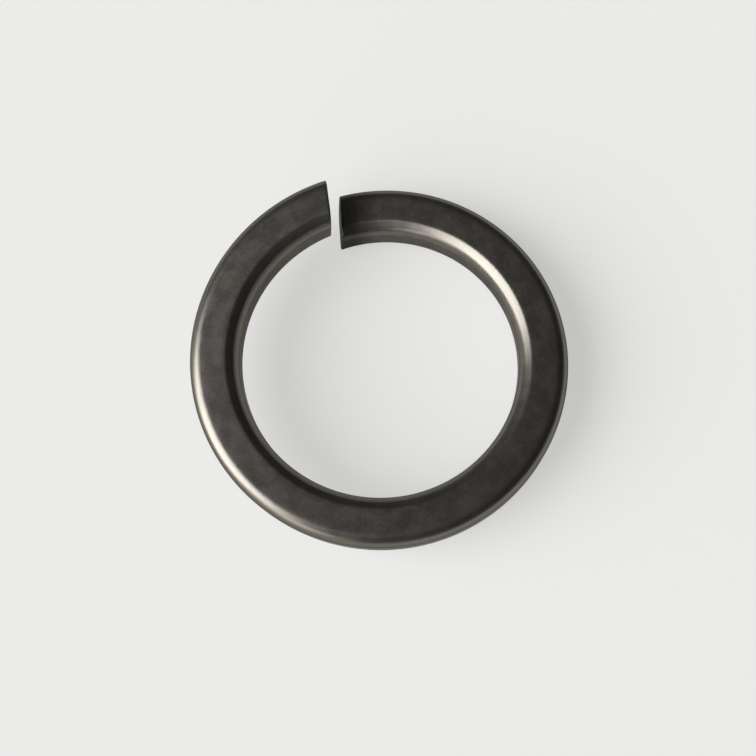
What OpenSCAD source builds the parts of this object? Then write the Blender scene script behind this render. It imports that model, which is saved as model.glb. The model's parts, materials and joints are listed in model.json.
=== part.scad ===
// Spring lock washer, plain ends: one turn of nearly square, round-cornered spring wire.
//
// The wire is wound to a left-hand helix, so its two ends stand apart in height, and one slanted
// slit parts them. The winding squeezes the wire's inner side: a ridge bounds each flat there, and
// a sloping flank leads from it to the rounded corner at the hole. Z is the axis of the hole, the
// lower end's foot is at z = 0, and the slit is at +Y. Seen from above, the wire climbs clockwise
// from the end on the +X side of the slit.

/* [Hole and wire] */
// Diameter of the hole
hole_d = 28.4; // [24:0.1:60]
// Width of the wire, measured from the hole outwards
wire_w = 5.0; // [3:0.1:9]
// Thickness of the wire along the axis
wire_t = 4.8; // [3:0.1:9]
// Radius of the wire's two corners at the rim
corner_r = 1.35; // [0.3:0.05:2.2]
// Radius of its two corners at the hole
inner_r = 1.3; // [0.3:0.05:2.2]
// Distance from the hole's wall to the ridges
ridge_in = 1.2; // [0.5:0.05:2]
// Drop from a ridge, along its flank, to the hole's wall
ridge_drop = 0.65; // [0.2:0.05:1]

/* [Coil] */
// Free height over both ends
free_h = 10.0; // [9.2:0.1:16]

/* [Slit] */
// Gap between the ends, across the slit at the middle of the wire
slit_gap = 0.85; // [0.4:0.05:2.5]
// Turn of the slit away from the radial direction
slit_skew = 10.9; // [0:0.1:20]
// Lean of the slit away from the axis, which gives each end its biting edge
slit_lean = 6; // [0:0.5:12]
// Angle by which the slit opens outwards
slit_splay = 3.7; // [0:0.1:6]

/* [Smoothness] */
// Steps of the coil round one turn
coil_steps = 120; // [60:4:180]
// Steps of each corner at the rim. Those at the hole have one less.
corner_steps = 6; // [4:1:8]

/* [Hidden] */

// Circle through the middle of the wire, and the hole and the rim on either side of it
hole_r = hole_d / 2;
mid_r = hole_r + wire_w / 2;
rim_r = hole_r + wire_w;

// Climb of the wire's middle from the lower end to the upper end
rise = free_h - wire_t;

// The corner never takes the whole of a side
round_r = min(corner_r, 0.46 * min(wire_w, wire_t));

// The flank's inset and drop also leave room for the flat and for the hole's wall
flank_in = min(ridge_in, 0.4 * wire_w);
flank_drop = min(ridge_drop, 0.25 * wire_t);
flank_slope = atan(flank_drop / flank_in);

// The corner at the hole takes less than the whole flank, and leaves some of the wall
inner_reach = min(
    inner_r * tan(45 - flank_slope / 2), 0.9 * norm([flank_in, flank_drop]), 0.46 * wire_t - flank_drop
);
flank_r = inner_reach / tan(45 - flank_slope / 2);

// Which way each end faces: the lower end is on the +X side of the slit
LOWER = 1;
UPPER = -1;

// The wire is wound this much longer than needed at each end, and the slit takes it off again
trim = slit_gap / 3;

// Angle of one step of a corner, at the rim and at the hole
corner_step = 90 / corner_steps;
inner_step = (90 - flank_slope) / (corner_steps - 1);

// Height from the wire's middle to where its straight sides end, at the rim and at the hole
rim_h = wire_t / 2 - round_r;
wall_h = wire_t / 2 - flank_drop - inner_reach;

// The last chord of each corner runs on past the straight side and meets its mirror image here.
// This stock stands outside the rim and inside the hole until both are turned and bored true.
rim_stock = rim_h * tan(corner_step / 2);
hole_stock = wall_h * tan(inner_step / 2);

// Facets of the cylinders that bore the hole and turn the rim
round_fn = 2 * coil_steps;

// Turn of a cut face away from the radial direction: the splay is shared between the two
function face_skew(side) = slit_skew + side * slit_splay / 2;

// Clock angle at which an end's cut face crosses the middle of the wire
function end_angle(side) = asin(side * slit_gap / 2 / mid_r);

// Corner at the hole, as points outwards and upwards from the wire's middle, from wall to flank
inner_corner = [
    for (i = [corner_steps - 2 : -1 : 0])
        let (a = flank_slope + i * inner_step)
            [flank_r - wire_w / 2 - flank_r * sin(a), wall_h + flank_r * cos(a)]
];

// Corner at the rim, from flat to rim
outer_corner = [
    for (i = [0 : corner_steps - 1])
        let (a = i * corner_step)
            [wire_w / 2 - round_r + round_r * sin(a), rim_h + round_r * cos(a)]
];

// Upper half of the wire's section, from the hole over the ridge to the rim
upper_half = concat(inner_corner, [[flank_in - wire_w / 2, wire_t / 2]], outer_corner);

// The same points turned over, back from the rim to the hole
lower_half = [for (i = [len(upper_half) - 1 : -1 : 0]) [upper_half[i].x, -upper_half[i].y]];

// The wire's section: its halves, and the stock's edge at the middle of each side
section = concat(
    upper_half, [[wire_w / 2 + rim_stock, 0]], lower_half, [[-wire_w / 2 - hole_stock, 0]]
);

// Clock angle at which a point of the section starts or ends, just inside the slit
function raw_end(p, side) = asin(
    (side * (slit_gap / 2 - trim) + p.x * tan(face_skew(side)) + p.y * tan(slit_lean)) / (mid_r + p.x)
);

// Height of the wire's middle at a clock angle
function climb(clock) = rise * (
    (clock - end_angle(LOWER)) / (360 + end_angle(UPPER) - end_angle(LOWER)) - 1 / 2
);

// A point of the section, carried the share s of the way round from the lower end to the upper
function wound(p, s) =
    let (clock = (1 - s) * raw_end(p, LOWER) + s * (360 + raw_end(p, UPPER)), r = mid_r + p.x)
        [r * sin(clock), r * cos(clock), climb(clock) + p.y];

// One turn of wire, with stock left on both sides and at both ends
module wound_wire() {
    n = len(section);
    rings = [for (i = [0 : coil_steps], p = section) wound(p, i / coil_steps)];
    caps = [wound([0, 0], 0), wound([0, 0], 1)];
    last = coil_steps * n;
    skin = [
        for (i = [0 : coil_steps - 1], j = [0 : n - 1])
            let (a = i * n + j, b = i * n + (j + 1) % n)
                each [[a, b + n, a + n], [a, b, b + n]]
    ];
    lower_cap = [for (j = [0 : n - 1]) [(j + 1) % n, j, last + n]];
    upper_cap = [for (j = [0 : n - 1]) [last + j, last + (j + 1) % n, last + n + 1]];
    polyhedron(points = concat(rings, caps), faces = concat(skin, lower_cap, upper_cap), convexity = 6);
}

// The slanted blade that shears the coil: a wedge, wider outwards, leaning from the axis
module slit() {
    half = (slit_gap / 2 + rise / 2 * tan(slit_lean)) * cos(slit_lean);
    reach = wire_w / 2 + trim;
    function edge(side, y) = [side * half + y * tan(face_skew(side)), mid_r + y];
    rotate([0, slit_lean, 0])
        linear_extrude(height = 2 * free_h, center = true)
            polygon([edge(LOWER, -reach), edge(LOWER, reach), edge(UPPER, reach), edge(UPPER, -reach)]);
}

module spring_lock_washer() {
    color([0.22, 0.22, 0.21])
        translate([0, 0, free_h / 2])
            difference() {
                intersection() {
                    wound_wire();
                    cylinder(h = 2 * free_h, r = rim_r, center = true, $fn = round_fn);
                }
                cylinder(h = 2 * free_h, r = hole_r, center = true, $fn = round_fn);
                slit();
            }
}

spring_lock_washer();
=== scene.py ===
"""Spring lock washer: its wound wire, its dark steel finish and the soft studio that it is seen in.

The washer is one turn of nearly square, round-cornered spring wire. It is wound to a left-hand helix, so
that its ends stand apart in height, and one slanted slit parts them. Z is the axis of the hole, the lower
end's foot is at z = 0 and the slit is at +Y. Clock angles are measured at the hole's axis, clockwise from
+Y as seen from above, which is the way that the wire climbs.

The washer and the pattern on its surface are measured in millimetres, and its finished mesh is scaled to
metres. The studio is in metres. Angles are in degrees, unless a docstring says radians.
"""

import json
import logging
import math
from dataclasses import dataclass
from enum import Enum
from typing import Any

import bmesh
import bpy
from mathutils import Matrix, Vector


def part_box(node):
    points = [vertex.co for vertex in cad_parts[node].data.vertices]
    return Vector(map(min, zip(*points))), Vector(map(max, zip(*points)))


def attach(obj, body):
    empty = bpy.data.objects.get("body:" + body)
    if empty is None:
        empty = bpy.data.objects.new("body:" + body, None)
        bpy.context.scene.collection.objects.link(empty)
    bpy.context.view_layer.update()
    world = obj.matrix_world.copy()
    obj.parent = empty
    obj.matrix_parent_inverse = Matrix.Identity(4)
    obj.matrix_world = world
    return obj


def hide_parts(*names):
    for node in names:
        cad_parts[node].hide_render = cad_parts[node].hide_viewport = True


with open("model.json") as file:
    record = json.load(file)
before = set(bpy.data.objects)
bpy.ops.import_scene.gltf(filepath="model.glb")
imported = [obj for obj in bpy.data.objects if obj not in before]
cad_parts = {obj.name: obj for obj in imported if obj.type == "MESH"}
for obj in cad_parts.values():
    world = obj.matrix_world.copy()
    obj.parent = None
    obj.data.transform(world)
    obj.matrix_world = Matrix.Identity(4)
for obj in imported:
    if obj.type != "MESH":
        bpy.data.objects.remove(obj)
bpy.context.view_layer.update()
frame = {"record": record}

MM = 0.001
FULL_TURN = 2 * math.pi
NODE = "spring_lock_washer"
BODY = "root"
SLOT = "dark_spring_steel"

Socket = bpy.types.NodeSocket
Colour = tuple[float, float, float]
WHITE: Colour = (1.0, 1.0, 1.0)
FAINT_STRAW: Colour = (1.0, 0.94, 0.86)
STRAW: Colour = (1.0, 0.86, 0.66)

# Numbers of the Mix node's sockets for colours
MIX_FACTOR = 0
MIX_FIRST = 6
MIX_SECOND = 7
MIX_RESULT = 2

# Soft noise seldom leaves this range
NOISE_LOW = 0.3
NOISE_HIGH = 0.7

# Noise of one octave, as for the tint, stays in this one
TINT_LOW = 0.35
TINT_HIGH = 0.65

# The wire has two flats, a rim side and a hole side
WIRE_SIDES = 4

# Steps in which a point slides along the wire into the plane of a cut
MEETING_STEPS = 4

log = logging.getLogger(NODE)


class End(Enum):
    """The two ends of the wire. The value is the side of the slit, along X, that the end's wire is on."""

    LOWER = 1
    UPPER = -1


class NodeGraph:
    """A node tree with short calls that add a node and wire its inputs."""

    def __init__(self, tree: bpy.types.NodeTree) -> None:
        """Clears a tree and keeps it.

        Args:
            tree: The node tree of a material or a world.
        """
        self.tree = tree
        self.tree.nodes.clear()

    def add(self, kind: str, inputs: dict[Any, Any] | None = None, **settings: Any) -> bpy.types.Node:
        """Adds one node.

        Args:
            kind: The node's type name, without its ShaderNode prefix.
            inputs: Values or output sockets, by the input's name or number.
            settings: Attributes of the node.

        Returns:
            The new node.
        """
        node = self.tree.nodes.new("ShaderNode" + kind)
        for name, value in settings.items():
            setattr(node, name, value)
        for name, value in (inputs or {}).items():
            if isinstance(value, Socket):
                self.tree.links.new(value, node.inputs[name])
            else:
                node.inputs[name].default_value = value
        return node

    def attribute(self, name: str, output: str) -> Socket:
        """What the surface's attribute of this name holds."""
        return self.add("Attribute", attribute_name=name).outputs[output]

    def math(self, operation: str, first: Any, second: Any = 0.0) -> Socket:
        """The result of one sum on numbers."""
        return self.add("Math", {0: first, 1: second}, operation=operation).outputs[0]

    def stretch(self, place: Socket, factors: Colour) -> Socket:
        """A place with each of its three numbers times a factor."""
        return self.add("VectorMath", {0: place, 1: factors}, operation="MULTIPLY").outputs[0]

    def noise(self, place: Socket, scale: float, octaves: float = 3.0) -> Socket:
        """Soft noise from 0 to 1.

        Args:
            place: Where it is read.
            scale: Waves for each unit of place.
            octaves: Finer and finer layers of it that are added.

        Returns:
            The noise's value.
        """
        return self.add("TexNoise", {"Vector": place, "Scale": scale, "Detail": octaves}).outputs[0]

    def spread(self, value: Any, start: float, stop: float, low: float = 0.0, high: float = 1.0) -> Socket:
        """Maps a number from one range to another with a smooth step, and holds it inside.

        Args:
            value: The number.
            start: Where the first range starts.
            stop: Where the first range stops.
            low: What the start becomes.
            high: What the stop becomes.

        Returns:
            The mapped number.
        """
        inputs = {"Value": value, "From Min": start, "From Max": stop, "To Min": low, "To Max": high}
        return self.add("MapRange", inputs, interpolation_type="SMOOTHSTEP").outputs[0]

    def blend(self, factor: Any, first: Any, second: Any, mode: str = "MIX") -> Socket:
        """Mixes two colours.

        Args:
            factor: Share of the second colour.
            first: A colour or a socket.
            second: A colour or a socket.
            mode: The way of mixing.

        Returns:
            The mixed colour.
        """
        inputs = {MIX_FACTOR: factor, MIX_FIRST: opaque(first), MIX_SECOND: opaque(second)}
        return self.add("Mix", inputs, data_type="RGBA", blend_type=mode).outputs[MIX_RESULT]

    def vary(self, colour: Socket, noise: Socket, share: float) -> Socket:
        """Darkens and lightens a colour by up to a share of itself.

        Args:
            colour: The colour.
            noise: Soft noise, low where the colour gets darker and high where it gets lighter.
            share: The largest change.

        Returns:
            The changed colour.
        """
        change = self.spread(noise, NOISE_LOW, NOISE_HIGH, 1.0 - share, 1.0 + share)
        return self.blend(1.0, colour, change, "MULTIPLY")


def opaque(colour: Any) -> Any:
    """A colour of three numbers with its alpha of one, or a socket as it is."""
    return colour if isinstance(colour, Socket) else (*colour, 1.0)


@dataclass(frozen=True)
class DarkSpringSteel:
    """Dark grey spring steel, drawn, wound and tumbled: mottled flats, fine drawing lines and worn corners,
    with painted shade on its lower end and on its cut faces.

    Attributes:
        base: Colour of most of it.
        cool: Colour of its cooler patches.
        worn: Colour of its rubbed corners.
        sheared_and_shaded: Colour of its cut faces: rougher sheared steel, darkened further with painted
            shade.
        grazing: Share of its shine that is left at a flat angle.
        roughness: Roughness of its sides.
        worn_roughness: Roughness of its corners.
        sheared_roughness: Roughness of its cut faces.
        lower_shade: Share of the colour that the lower end keeps under its painted shade, a dark reflection
            painted into its colour.
        shade_start: Distance along the wire at which the painted shade starts to fade.
        shade_stop: Distance at which it has faded.
        tint_scale: Waves of the warm and cool tint for each millimetre.
        grain_scale: Waves of the fine grain.
        patch_scale: Waves of the soft patches.
        line_scale: Waves of the drawing lines, across the wire.
        line_stretch: Share of that along the wire.
        grain_change: Share by which the grain darkens and lightens the colour.
        patch_change: Share by which the patches do.
        patch_roughness: Amount by which the patches change the roughness.
        line_gaps: Share of the wear that is left between the drawing lines.
        line_top: Noise from which a drawing line is worn in full.
        grain_relief: Part of the grain in the relief.
        line_relief: Part of the drawing lines in it.
        relief_strength: Strength of the relief.
        relief_depth: Depth of the relief.
    """

    base: Colour = (0.163, 0.152, 0.133)
    cool: Colour = (0.153, 0.144, 0.138)
    worn: Colour = (0.190, 0.180, 0.158)
    sheared_and_shaded: Colour = (0.085, 0.083, 0.080)
    grazing: Colour = (0.42, 0.41, 0.40)
    roughness: float = 0.33
    worn_roughness: float = 0.30
    sheared_roughness: float = 0.50
    lower_shade: float = 0.42
    shade_start: float = 1.2
    shade_stop: float = 5.2
    tint_scale: float = 0.3
    grain_scale: float = 6.0
    patch_scale: float = 0.7
    line_scale: float = 7.0
    line_stretch: float = 0.06
    grain_change: float = 0.14
    patch_change: float = 0.10
    patch_roughness: float = 0.02
    line_gaps: float = 0.55
    line_top: float = 0.6
    grain_relief: float = 0.5
    line_relief: float = 0.6
    relief_strength: float = 0.25
    relief_depth: float = 0.01

    def tone(
        self, graph: NodeGraph, place: Socket, grain: Socket, patches: Socket, rubbed: Socket
    ) -> Socket:
        """Colours the drawn and tumbled surface, and paints shade on its lower end.

        Args:
            graph: The material's nodes.
            place: Place along and across the wire.
            grain: Fine noise.
            patches: Coarse noise.
            rubbed: How much the surface is rubbed bright.

        Returns:
            The colour.
        """
        tint = graph.noise(place, self.tint_scale, octaves=1.0)
        tone = graph.blend(graph.spread(tint, TINT_LOW, TINT_HIGH), self.base, self.cool)
        tone = graph.vary(tone, grain, self.grain_change)
        tone = graph.vary(tone, patches, self.patch_change)
        tone = graph.blend(rubbed, tone, self.worn)
        # Painted shade: the colour darkens towards the lower end and stands in for the dark reflection on
        # its flat.
        along = graph.add("SeparateXYZ", {0: place}).outputs[0]
        shade = graph.spread(along, self.shade_start, self.shade_stop, self.lower_shade, 1.0)
        return graph.blend(1.0, tone, shade, "MULTIPLY")

    def matt(self, graph: NodeGraph, patches: Socket, rubbed: Socket, sheared_and_shaded: Socket) -> Socket:
        """Sets how matt the surface is.

        Args:
            graph: The material's nodes.
            patches: Coarse noise.
            rubbed: How much the surface is rubbed bright.
            sheared_and_shaded: How much it belongs to a cut face.

        Returns:
            The roughness.
        """
        matt = graph.spread(rubbed, 0.0, 1.0, self.roughness, self.worn_roughness)
        change = graph.spread(patches, NOISE_LOW, NOISE_HIGH, -self.patch_roughness, self.patch_roughness)
        matt = graph.math("ADD", matt, change)
        return graph.math("MAXIMUM", matt, graph.math("MULTIPLY", sheared_and_shaded, self.sheared_roughness))

    def relief(self, graph: NodeGraph, grain: Socket, lines: Socket) -> Socket:
        """Raises the grain and the drawing lines.

        Args:
            graph: The material's nodes.
            grain: Fine noise.
            lines: Noise drawn out along the wire.

        Returns:
            The surface's normal.
        """
        grain = graph.math("MULTIPLY", grain, self.grain_relief)
        height = graph.math("ADD", grain, graph.math("MULTIPLY", lines, self.line_relief))
        inputs = {"Height": height, "Strength": self.relief_strength, "Distance": self.relief_depth * MM}
        return graph.add("Bump", inputs).outputs[0]

    def material(self) -> bpy.types.Material:
        """Makes the finish.

        Returns:
            The material, which reads the washer's wire_place, wear and sheared attributes.
        """
        made = bpy.data.materials.new(SLOT)
        made.use_nodes = True
        graph = NodeGraph(made.node_tree)
        place = graph.attribute("wire_place", "Vector")
        sheared_and_shaded = graph.attribute("sheared_and_shaded", "Fac")
        grain = graph.noise(place, self.grain_scale)
        patches = graph.noise(place, self.patch_scale)
        drawn = graph.stretch(place, (self.line_stretch, 1.0, 1.0))
        lines = graph.noise(drawn, self.line_scale, octaves=2.0)
        gaps = graph.spread(lines, NOISE_LOW, self.line_top, self.line_gaps, 1.0)
        rubbed = graph.math("MULTIPLY", graph.attribute("wear", "Fac"), gaps)
        tone = self.tone(graph, place, grain, patches, rubbed)
        inputs = {
            # The cut faces take a darker colour. Part of it is painted shade that stands in for the shade
            # in the slit.
            "Base Color": graph.blend(sheared_and_shaded, tone, self.sheared_and_shaded),
            "Metallic": 1.0,
            "Roughness": self.matt(graph, patches, rubbed, sheared_and_shaded),
            "Specular Tint": opaque(self.grazing),
            "Normal": self.relief(graph, grain, lines),
        }
        shader = graph.add("BsdfPrincipled", inputs)
        graph.add("OutputMaterial", {"Surface": shader.outputs[0]})
        return made


@dataclass(frozen=True)
class Slit:
    """The slanted slit that parts the coil at +Y.

    Attributes:
        gap: Width across it at the middle of the wire.
        skew: Turn away from the radial direction.
        lean: Lean away from the axis, which gives each end its biting edge.
        splay: Angle by which it opens outwards.
    """

    gap: float = 0.85
    skew: float = 10.9
    lean: float = 6.0
    splay: float = 3.7

    def face(self, end: End, middle: Vector, rise: float) -> tuple[Vector, Vector]:
        """The plane of one end's cut face.

        Args:
            end: Which end.
            middle: The slit's middle.
            rise: Height of the upper end's middle over the lower end's.

        Returns:
            A point of the plane, and its normal, which points into that end's wire.
        """
        lean = math.radians(self.lean)
        skew = math.radians(self.skew + end.value * self.splay / 2)
        half = (self.gap / 2 + rise / 2 * math.tan(lean)) * math.cos(lean)
        leaning = Matrix.Rotation(lean, 3, "Y")
        point = middle + leaning @ Vector((end.value * half, 0, 0))
        normal = leaning @ Vector((math.cos(skew), -math.sin(skew), 0))
        return point, end.value * normal


@dataclass
class SpringLockWasher:
    """The washer's mesh: the wire's section, wound one turn and led into the slit's two faces.

    Attributes:
        bore_radius: Radius of the hole.
        rim_radius: Radius of the rim.
        slit: The slit between the wire's ends.
        finish: The steel's finish.
        thickness: Thickness of the wire along the axis.
        free_height: Height over both ends.
        corner_radius: Radius of the wire's two outer corners.
        inner_radius: Radius of its two inner corners.
        ridge_inset: Distance from the hole's wall to the ridges that bound the flats on the inside.
        ridge_slope: Fall of the flanks from the ridges to the inner corners.
        ridge_round: Length of the small round on either side of a ridge.
        eased: Width of the small round along the edges of the cut faces.
        lead: Angle of the stretch in which the wire's rings turn into the plane of a cut face.
        rings: Steps round the coil.
        corner_steps: Steps of each rounded corner.
        ridge_steps: Steps of the small round of each ridge.
        flat_steps: Strips of each flat side.
        ease_steps: Steps of the small round along a cut face.
    """

    bore_radius: float
    rim_radius: float
    slit: Slit
    finish: DarkSpringSteel
    thickness: float = 4.8
    free_height: float = 10.0
    corner_radius: float = 1.35
    inner_radius: float = 1.3
    ridge_inset: float = 1.2
    ridge_slope: float = 29.0
    ridge_round: float = 0.16
    eased: float = 0.15
    lead: float = 8.0
    rings: int = 360
    corner_steps: int = 12
    ridge_steps: int = 4
    flat_steps: int = 6
    ease_steps: int = 3

    @property
    def width(self) -> float:
        """Width of the wire, outwards from the hole."""
        return self.rim_radius - self.bore_radius

    @property
    def middle_radius(self) -> float:
        """Radius of the circle through the middle of the wire."""
        return (self.rim_radius + self.bore_radius) / 2

    @property
    def rise(self) -> float:
        """Climb of the wire's middle from the lower end to the upper end."""
        return self.free_height - self.thickness

    def end_angle(self, end: End) -> float:
        """Clock angle in radians, counted on from the lower end, of a cut face at the wire's middle."""
        angle = math.asin(end.value * self.slit.gap / 2 / self.middle_radius)
        return angle if end is End.LOWER else angle + FULL_TURN

    def climb(self, clock: float) -> float:
        """Height of the wire's middle at a clock angle in radians."""
        start, stop = self.end_angle(End.LOWER), self.end_angle(End.UPPER)
        return self.thickness / 2 + self.rise * (clock - start) / (stop - start)

    def on_helix(self, clock: float, radius: float, above: float) -> Vector:
        """A point at a clock angle in radians, a radius and a height above the wire's middle."""
        return Vector((radius * math.sin(clock), radius * math.cos(clock), self.climb(clock) + above))

    def unwound(self, point: Vector) -> tuple[float, float, float]:
        """Finds a point's place on the wire.

        Args:
            point: A point in or on the wire.

        Returns:
            Its clock angle in radians, its radius, and its height above the wire's middle.
        """
        clock = math.atan2(point.x, point.y) % FULL_TURN
        turns = (clock - FULL_TURN, clock, clock + FULL_TURN)
        clock = min(turns, key=lambda turn: abs(point.z - self.climb(turn)))
        return clock, math.hypot(point.x, point.y), point.z - self.climb(clock)

    def draw_section(self, bm: bmesh.types.BMesh) -> None:
        """Draws the wire's rounded section where the coil starts.

        Args:
            bm: The mesh, still empty.
        """
        start, slope = self.end_angle(End.LOWER), math.radians(self.ridge_slope)
        hole, rim, top = -self.width / 2, self.width / 2, self.thickness / 2
        ridge, wall_top = hole + self.ridge_inset, top - self.ridge_inset * math.tan(slope)
        outline = (
            (rim, top), (rim, -top), (ridge, -top), (hole, -wall_top), (hole, wall_top), (ridge, top)
        )
        points = [
            bm.verts.new(self.on_helix(start, self.middle_radius + out, above)) for out, above in outline
        ]
        bm.faces.new(points)
        rim_top, rim_low, ridge_low, hole_low, hole_top, ridge_top = points
        hole_reach = self.inner_radius * math.tan(math.pi / 4 - slope / 2)
        rounds = (
            ([rim_top, rim_low], self.corner_radius, self.corner_steps),
            ([hole_low, hole_top], hole_reach, self.corner_steps),
            ([ridge_low, ridge_top], self.ridge_round, self.ridge_steps),
        )
        for corners, reach, steps in rounds:
            bmesh.ops.bevel(
                bm, geom=corners, offset=reach, offset_type="OFFSET", segments=steps, profile=0.5,
                affect="VERTICES", material=-1,
            )
        sides = sorted(bm.edges, key=lambda edge: edge.calc_length())[-WIRE_SIDES:]
        bmesh.ops.subdivide_edges(bm, edges=sides, cuts=self.flat_steps - 1)

    def wind(self, bm: bmesh.types.BMesh) -> None:
        """Winds the section one turn, clockwise and upwards.

        Args:
            bm: The mesh with the section's face.
        """
        clockwise = self.end_angle(End.LOWER) - self.end_angle(End.UPPER)
        bmesh.ops.spin(
            bm, geom=bm.verts[:] + bm.edges[:] + bm.faces[:], cent=(0, 0, 0), axis=(0, 0, 1),
            dvec=(0, 0, self.rise / self.rings), angle=clockwise, steps=self.rings, use_merge=False,
            use_duplicate=False,
        )

    def cut_face(self, end: End) -> tuple[Vector, Vector]:
        """A point of an end's cut face, and the face's normal, which points into the wire."""
        return self.slit.face(end, Vector((0, self.middle_radius, self.free_height / 2)), self.rise)

    def lead_into_cut(self, bm: bmesh.types.BMesh, end: End) -> None:
        """Slides an end's last rings along the wire, until the end ring lies in the plane of the cut.

        Args:
            bm: The wound mesh.
            end: Which end.
        """
        point, normal = self.cut_face(end)
        stretch = math.radians(self.lead)
        for vert in bm.verts:
            clock, radius, above = self.unwound(vert.co)
            share = 1 - abs(clock - self.end_angle(end)) / stretch
            if share <= 0:
                continue
            cut = self.meet(self.end_angle(end), radius, above, point, normal)
            vert.co = self.on_helix(clock + share * (cut - self.end_angle(end)), radius, above)

    def meet(self, clock: float, radius: float, above: float, point: Vector, normal: Vector) -> float:
        """Finds where a line along the wire meets a plane.

        Args:
            clock: Clock angle in radians to start from.
            radius: The line's radius.
            above: The line's height above the wire's middle.
            point: A point of the plane.
            normal: The plane's normal.

        Returns:
            The clock angle in radians.
        """
        tiny = math.radians(0.1)
        for _ in range(MEETING_STEPS):
            here = (self.on_helix(clock, radius, above) - point).dot(normal)
            next_one = (self.on_helix(clock + tiny, radius, above) - point).dot(normal)
            clock -= here * tiny / (next_one - here)
        return clock

    def ease_cut(self, bm: bmesh.types.BMesh) -> None:
        """Rounds the edges of the two cut faces, the only faces with more than four corners, a little.

        Args:
            bm: The mesh, closed by the two cut faces.
        """
        ends = [face for face in bm.faces if len(face.verts) > 4]
        edges = {edge for face in ends for edge in face.edges}
        bmesh.ops.bevel(
            bm, geom=list(edges), offset=self.eased, offset_type="OFFSET", segments=self.ease_steps,
            profile=0.5, affect="EDGES", clamp_overlap=True, material=-1,
        )

    def wear_at(self, out: float, above: float) -> float:
        """How much a place of the section is worn.

        Args:
            out: The place's distance outwards from the wire's middle.
            above: Its height above the wire's middle.

        Returns:
            From 0 on the sides to 1 in the middle of a corner.
        """
        side = max(0.0, abs(out) - self.width / 2 + self.corner_radius) / self.corner_radius
        top = max(0.0, abs(above) - self.thickness / 2 + self.corner_radius) / self.corner_radius
        return min(1.0, 2 * side * top)

    def sheared_at(self, clock: float, place: Vector) -> float:
        """How much a place of the surface belongs to a cut face.

        Args:
            clock: The place's clock angle in radians, counted on from the lower end.
            place: The place.

        Returns:
            From 1 in the plane of the cut to 0 behind the face's small round.
        """
        end = End.LOWER if clock < math.pi else End.UPPER
        if abs(clock - self.end_angle(end)) > math.radians(self.lead):
            return 0.0
        point, normal = self.cut_face(end)
        return max(0.0, min(1.0, 1 - (place - point).dot(normal) / self.eased))

    def mark(self, mesh: bpy.types.Mesh) -> None:
        """Writes the attributes that the finish reads.

        Args:
            mesh: The finished mesh.
        """
        places, wears, sheared_and_shaded = [], [], []
        for vert in mesh.vertices:
            clock, radius, above = self.unwound(vert.co / MM)
            out = radius - self.middle_radius
            places.extend((clock * self.middle_radius, out, above))
            wears.append(self.wear_at(out, above))
            sheared_and_shaded.append(self.sheared_at(clock, vert.co / MM))
        mesh.attributes.new("wire_place", "FLOAT_VECTOR", "POINT").data.foreach_set("vector", places)
        mesh.attributes.new("wear", "FLOAT", "POINT").data.foreach_set("value", wears)
        mesh.attributes.new("sheared_and_shaded", "FLOAT", "POINT").data.foreach_set("value", sheared_and_shaded)

    def build(self) -> bpy.types.Object:
        """Models and dresses the washer.

        Returns:
            The washer's object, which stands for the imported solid.
        """
        bm = bmesh.new()
        self.draw_section(bm)
        self.wind(bm)
        for end in End:
            self.lead_into_cut(bm, end)
        self.ease_cut(bm)
        bmesh.ops.scale(bm, verts=bm.verts, vec=(MM, MM, MM))
        bmesh.ops.recalc_face_normals(bm, faces=bm.faces)
        for face in bm.faces:
            face.smooth = True
        mesh = bpy.data.meshes.new("wound_wire")
        bm.to_mesh(mesh)
        bm.free()
        self.mark(mesh)
        mesh.materials.append(self.finish.material())
        washer = bpy.data.objects.new("wound_wire", mesh)
        bpy.context.scene.collection.objects.link(washer)
        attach(washer, BODY)
        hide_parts(NODE)
        log.info("wound_wire: %d faces", len(mesh.polygons))
        return washer


@dataclass(frozen=True)
class SoftBox:
    """An oval lamp that looks at the washer. It shines in the steel, but the camera doesn't see it.

    Attributes:
        name: The lamp's name.
        clock: Clock angle that it stands at.
        elevation: Angle above the floor.
        radiance: Brightness of its face, where 1 is white.
        half_width: Half the angle that its width fills, as the washer sees it.
        half_height: Half the angle that its height fills.
        colour: Colour of its light.
        distance: Distance from the washer.
    """

    name: str
    clock: float
    elevation: float
    radiance: float
    half_width: float
    half_height: float
    colour: Colour = WHITE
    distance: float = 10.0

    def build(self, target: Vector) -> bpy.types.Object:
        """Makes the lamp.

        Args:
            target: What it looks at.

        Returns:
            The lamp's object.
        """
        clock, elevation = math.radians(self.clock), math.radians(self.elevation)
        across = Vector((math.sin(clock), math.cos(clock), 0)) * math.cos(elevation)
        away = across + Vector((0, 0, math.sin(elevation)))
        data = bpy.data.lights.new(self.name, "AREA")
        data.shape = "ELLIPSE"
        data.size = 2 * self.distance * math.tan(math.radians(self.half_width))
        data.size_y = 2 * self.distance * math.tan(math.radians(self.half_height))
        face_area = math.pi / 4 * data.size * data.size_y
        data.energy = self.radiance * math.pi * face_area
        data.color = self.colour
        lamp = bpy.data.objects.new(self.name, data)
        lamp.location = target + away * self.distance
        lamp.rotation_euler = away.to_track_quat("Z", "Y").to_euler()
        lamp.visible_camera = False
        bpy.context.scene.collection.objects.link(lamp)
        log.info("%s: %.0f W", self.name, data.energy)
        return lamp


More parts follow.
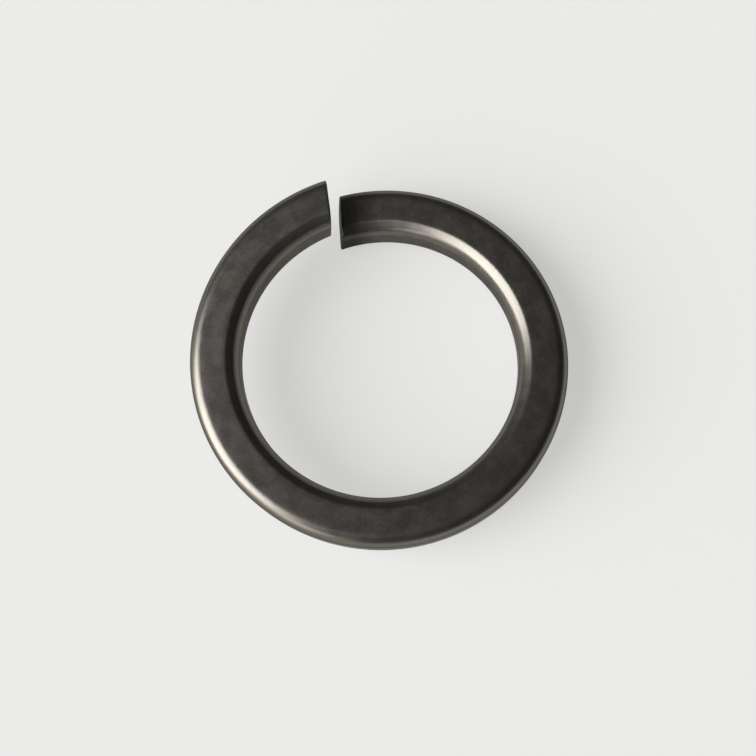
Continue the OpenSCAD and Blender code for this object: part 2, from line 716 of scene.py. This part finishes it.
@dataclass(frozen=True)
class PhotoCamera:
    """The photograph's camera, close above the washer and a little to its side.

    Attributes:
        turn: Turn about the hole's axis.
        tip: Tip of the view from straight down, towards the bottom of the picture.
        side_tip: Tip of the view towards the side of the picture.
        distance: Distance from the washer's middle along the view.
        across: Place of the washer's middle, to the right of the picture's middle.
        up: Place of the washer's middle, above the picture's middle.
        seen_height: Height of the picture at the washer's middle.
        sensor: Width of the sensor, in millimetres.
    """

    turn: float = -17.6
    tip: float = 12.93
    side_tip: float = 2.79
    distance: float = 118.71 * MM
    across: float = 0.2426 * MM
    up: float = 1.6849 * MM
    seen_height: float = 77.847 * MM
    sensor: float = 36.0

    def build(self, middle: Vector) -> bpy.types.Object:
        """Makes the camera and gives it to the scene.

        Args:
            middle: The washer's middle.

        Returns:
            The camera's object.
        """
        turned = Matrix.Rotation(math.radians(self.turn), 3, "Z")
        tipped = Matrix.Rotation(math.radians(self.tip), 3, "X")
        side_tipped = Matrix.Rotation(math.radians(self.side_tip), 3, "Y")
        facing = turned @ tipped @ side_tipped
        data = bpy.data.cameras.new("photo_camera")
        data.sensor_width = self.sensor
        data.lens = self.sensor * self.distance / self.seen_height
        data.clip_start = 1 * MM
        camera = bpy.data.objects.new("photo_camera", data)
        camera.location = middle + facing @ Vector((-self.across, -self.up, self.distance))
        camera.rotation_euler = facing.to_euler()
        bpy.context.scene.collection.objects.link(camera)
        bpy.context.scene.camera = camera
        return camera


@dataclass(frozen=True)
class Studio:
    """The pale floor, the world and the lamps. Heights in the world are sines of elevations.

    Attributes:
        lamps: The lamps, the main one first.
        floor: Colour of the floor.
        floor_radius: Radius of the floor.
        glow: Share of the floor's paleness that no shadow takes away, as light that only the views see.
        overhead: Brightness of the world straight above.
        overhead_low: Height at which the overhead light starts.
        overhead_high: Height at which it is whole.
        midway: Brightness of the world half way up.
        midway_low: Height at which the horizon's light has faded to that.
        horizon: Brightness of the world at the horizon.
        backdrop: Brightness of the pale backdrop where it meets the floor, which only the views see.
        backdrop_top: Height at which it has faded out.
        lit_side: Times that the world is brighter on the main lamp's side.
        dark_side: Times that it is brighter on the other side.
    """

    lamps: tuple[SoftBox, ...]
    floor: Colour = (0.83, 0.83, 0.82)
    floor_radius: float = 3.0
    glow: float = 0.62
    overhead: float = 0.16
    overhead_low: float = 0.75
    overhead_high: float = 0.98
    midway: float = 0.096
    midway_low: float = 0.35
    horizon: float = 0.24
    backdrop: float = 0.83
    backdrop_top: float = 0.15
    lit_side: float = 1.9
    dark_side: float = 0.5

    def lay_floor(self, level: float) -> bpy.types.Object:
        """Lays the floor.

        Args:
            level: Its height.

        Returns:
            The floor's object.
        """
        bm = bmesh.new()
        bmesh.ops.create_circle(bm, cap_ends=True, radius=self.floor_radius, segments=64)
        bmesh.ops.translate(bm, verts=bm.verts, vec=(0, 0, level))
        bmesh.ops.recalc_face_normals(bm, faces=bm.faces)
        mesh = bpy.data.meshes.new("floor")
        bm.to_mesh(mesh)
        bm.free()
        mesh.materials.append(self.floor_material())
        floor = bpy.data.objects.new("floor", mesh)
        bpy.context.scene.collection.objects.link(floor)
        return floor

    def floor_material(self) -> bpy.types.Material:
        """Makes the floor's finish: plain paint, with a share of its paleness as light that only views see.

        Returns:
            The material.
        """
        made = bpy.data.materials.new("pale_floor")
        made.use_nodes = True
        graph = NodeGraph(made.node_tree)
        share = graph.math("MULTIPLY", self.seen_in_views(graph), self.glow)
        paint = graph.add("BsdfDiffuse", {"Color": opaque(self.floor)})
        light = graph.add("Emission", {"Color": opaque(self.floor), "Strength": 1.0})
        shown = graph.add("MixShader", {0: share, 1: paint.outputs[0], 2: light.outputs[0]})
        graph.add("OutputMaterial", {"Surface": shown.outputs[0]})
        return made

    def seen_in_views(self, graph: NodeGraph) -> Socket:
        """Tells the rays that show a background from those that only light the scene.

        Args:
            graph: The nodes of a material or a world.

        Returns:
            One for a ray from the camera, a reflection or glass, and zero for plain light.
        """
        ray = graph.add("LightPath").outputs
        seen = graph.math("MAXIMUM", ray["Is Camera Ray"], ray["Is Glossy Ray"])
        return graph.math("MAXIMUM", seen, ray["Is Transmission Ray"])

    def light_world(self) -> bpy.types.World:
        """Makes the world: darkest half way up, brighter on the main lamp's side, pale behind the floor.

        Returns:
            The world.
        """
        world = bpy.data.worlds.new("studio")
        world.use_nodes = True
        graph = NodeGraph(world.node_tree)
        ray = graph.add("TexCoord").outputs["Generated"]
        height = graph.add("SeparateXYZ", {0: ray}).outputs[2]
        low = graph.spread(height, 0.0, self.midway_low, self.horizon, self.midway)
        extra = self.overhead - self.midway
        high = graph.spread(height, self.overhead_low, self.overhead_high, 0.0, extra)
        clock = math.radians(self.lamps[0].clock)
        lamp_side = (math.sin(clock), math.cos(clock), 0.0)
        facing = graph.add("VectorMath", {0: ray, 1: lamp_side}, operation="DOT_PRODUCT").outputs["Value"]
        side = graph.spread(facing, -1.0, 1.0, self.dark_side, self.lit_side)
        light = graph.math("MULTIPLY", graph.math("ADD", low, high), side)
        behind = graph.spread(height, 0.0, self.backdrop_top, self.backdrop, 0.0)
        behind = graph.math("MULTIPLY", behind, self.seen_in_views(graph))
        strength = graph.math("MAXIMUM", light, behind)
        sky = graph.add("Background", {"Color": opaque(WHITE), "Strength": strength})
        graph.add("OutputWorld", {"Surface": sky.outputs[0]})
        bpy.context.scene.world = world
        return world

    def build(self, middle: Vector, level: float) -> None:
        """Lays the floor and lights the scene.

        Args:
            middle: The washer's middle.
            level: Height of the floor.
        """
        self.lay_floor(level)
        self.light_world()
        for lamp in self.lamps:
            lamp.build(middle)
        bpy.context.scene.view_settings.view_transform = "Standard"


def main() -> None:
    """Builds the washer from the frame's sizes, then the studio and the camera."""
    logging.basicConfig(level=logging.INFO)
    low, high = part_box(NODE)
    bore = next(mount for mount in frame["record"]["mounts"] if mount["name"] == "bore")
    washer = SpringLockWasher(
        bore_radius=bore["dims"]["r_mm"],
        rim_radius=(high.x - low.x) / 2 / MM,
        slit=Slit(),
        finish=DarkSpringSteel(),
    )
    washer.build()
    middle = Vector((0, 0, washer.free_height / 2 * MM))
    lamps = (
        SoftBox("window_light", 271.0, 37.0, 6.2, half_width=26.0, half_height=29.0),
        SoftBox("side_light", 232.0, 18.0, 2.4, half_width=17.0, half_height=15.0, colour=FAINT_STRAW),
        SoftBox("low_light", 272.0, 6.0, 3.5, half_width=24.0, half_height=5.0, colour=STRAW),
    )
    Studio(lamps).build(middle, low.z)
    PhotoCamera().build(middle)


if __name__ == "__main__":
    main()
